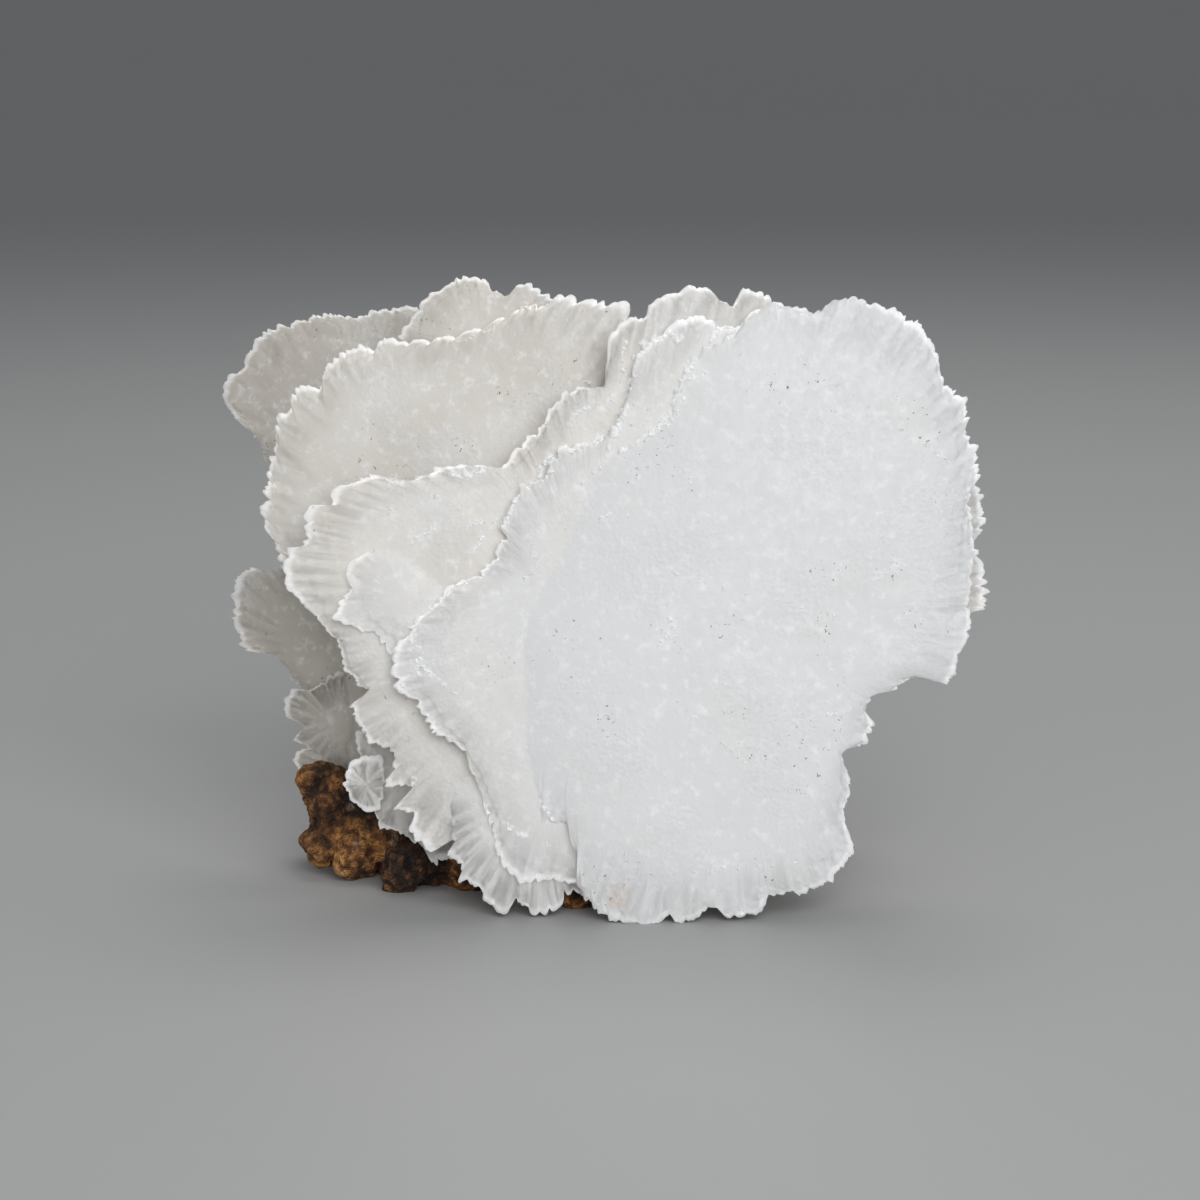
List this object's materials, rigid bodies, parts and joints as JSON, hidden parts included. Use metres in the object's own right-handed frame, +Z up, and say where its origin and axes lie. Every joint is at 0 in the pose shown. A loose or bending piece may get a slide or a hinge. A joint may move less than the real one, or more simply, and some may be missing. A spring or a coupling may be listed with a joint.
{
  "type": "calcite cluster",
  "caption": "Cluster of thin, nearly parallel white calcite plates with scalloped rims, standing on edge in a lump of brown limonite matrix with a flat underside.",
  "frame": {"origin": "middle of the specimen's box in plan, on the surface that it rests on", "axes": "+Z up, +X across the front sheets to the viewer's right, -Y towards the viewer"},
  "size_m": [0.1282, 0.0677, 0.0978],
  "materials": {
    "calcite": "milky, half see-through white calcite, satin, with brighter rims",
    "limonite": "rough, crumbly orange-brown iron oxide"
  },
  "bodies": {
    "root": {"front_sheets": "calcite", "middle_plates": "calcite", "upper_rear_plate": "calcite", "lower_left_plate": "calcite", "left_foot_plates": "calcite", "front_foot_plates": "calcite", "back_plates": "calcite", "limonite_matrix": "limonite"}
  },
  "joints": []
}
